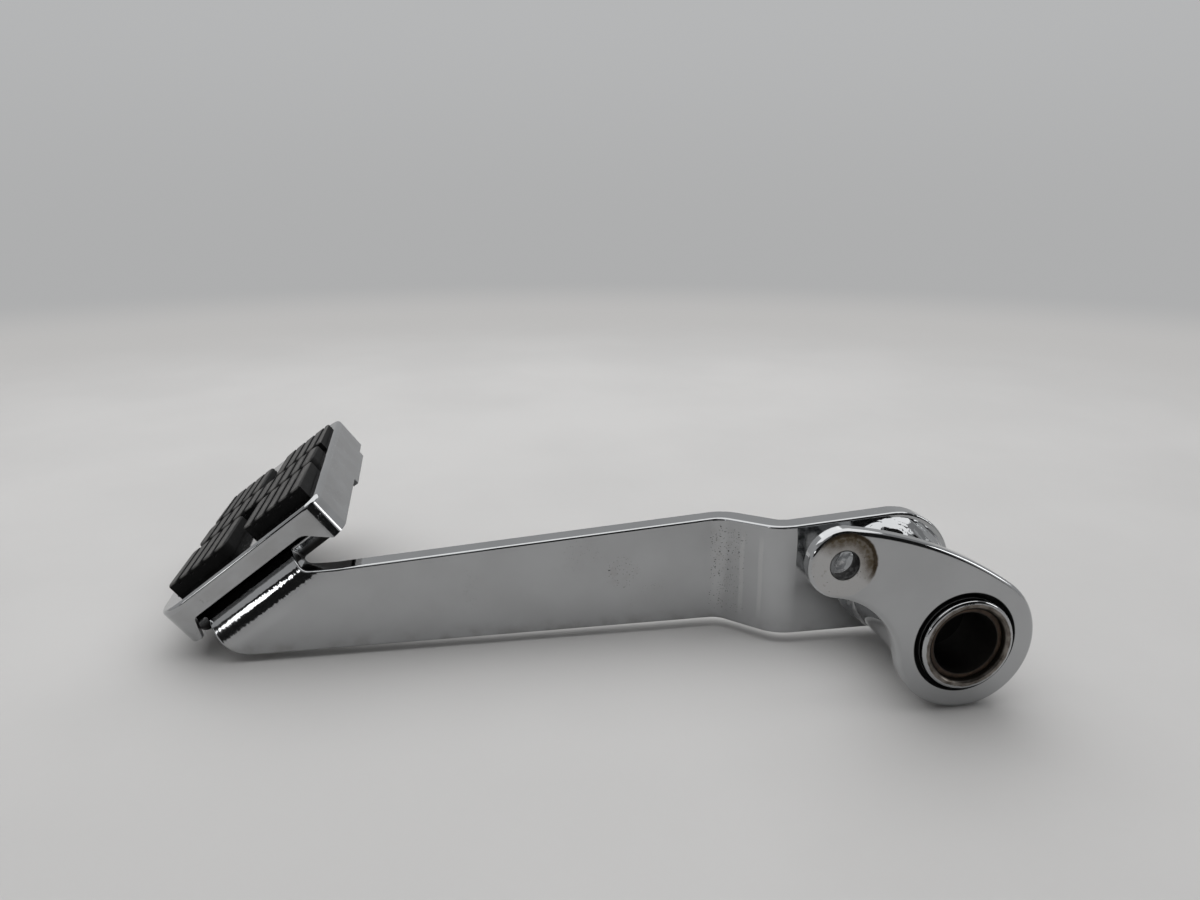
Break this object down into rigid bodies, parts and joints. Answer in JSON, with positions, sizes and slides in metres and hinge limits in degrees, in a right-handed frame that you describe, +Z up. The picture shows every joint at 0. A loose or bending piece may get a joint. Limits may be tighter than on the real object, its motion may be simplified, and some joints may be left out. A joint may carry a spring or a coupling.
{
  "type": "rear brake pedal",
  "caption": "Foot brake pedal: a cranked flat steel arm with a ribbed rubber foot pad in a bright metal cover at one end, and a bushed pivot tube with a push-rod lever at the other.",
  "frame": {"origin": "on the pivot bore's axis, midway along the pivot tube", "axes": "+X from the foot pad to the pivot, +Y outboard along the pivot axis from the lever to the arm, +Z up as the pedal lies in the picture"},
  "size_m": [0.2976, 0.1934, 0.0667],
  "materials": {
    "bright_plate": "bright plated steel, finely pitted",
    "bush_steel": "dull and oil stained",
    "tread_rubber": "matt moulded rubber",
    "fastener_steel": "plain plated steel"
  },
  "bodies": {
    "root": {"pedal_arm": "bright_plate", "pushrod_lever": "bright_plate", "pivot_tube": "bright_plate", "lever_weld": "bright_plate", "arm_inner_weld": "bright_plate", "arm_outer_weld": "bright_plate", "pad_cover": "bright_plate", "inboard_bush": "bush_steel", "outboard_bush": "bush_steel", "tread_pad": "tread_rubber", "stud_washers": "fastener_steel", "stud_nuts": "fastener_steel"}
  },
  "joints": []
}
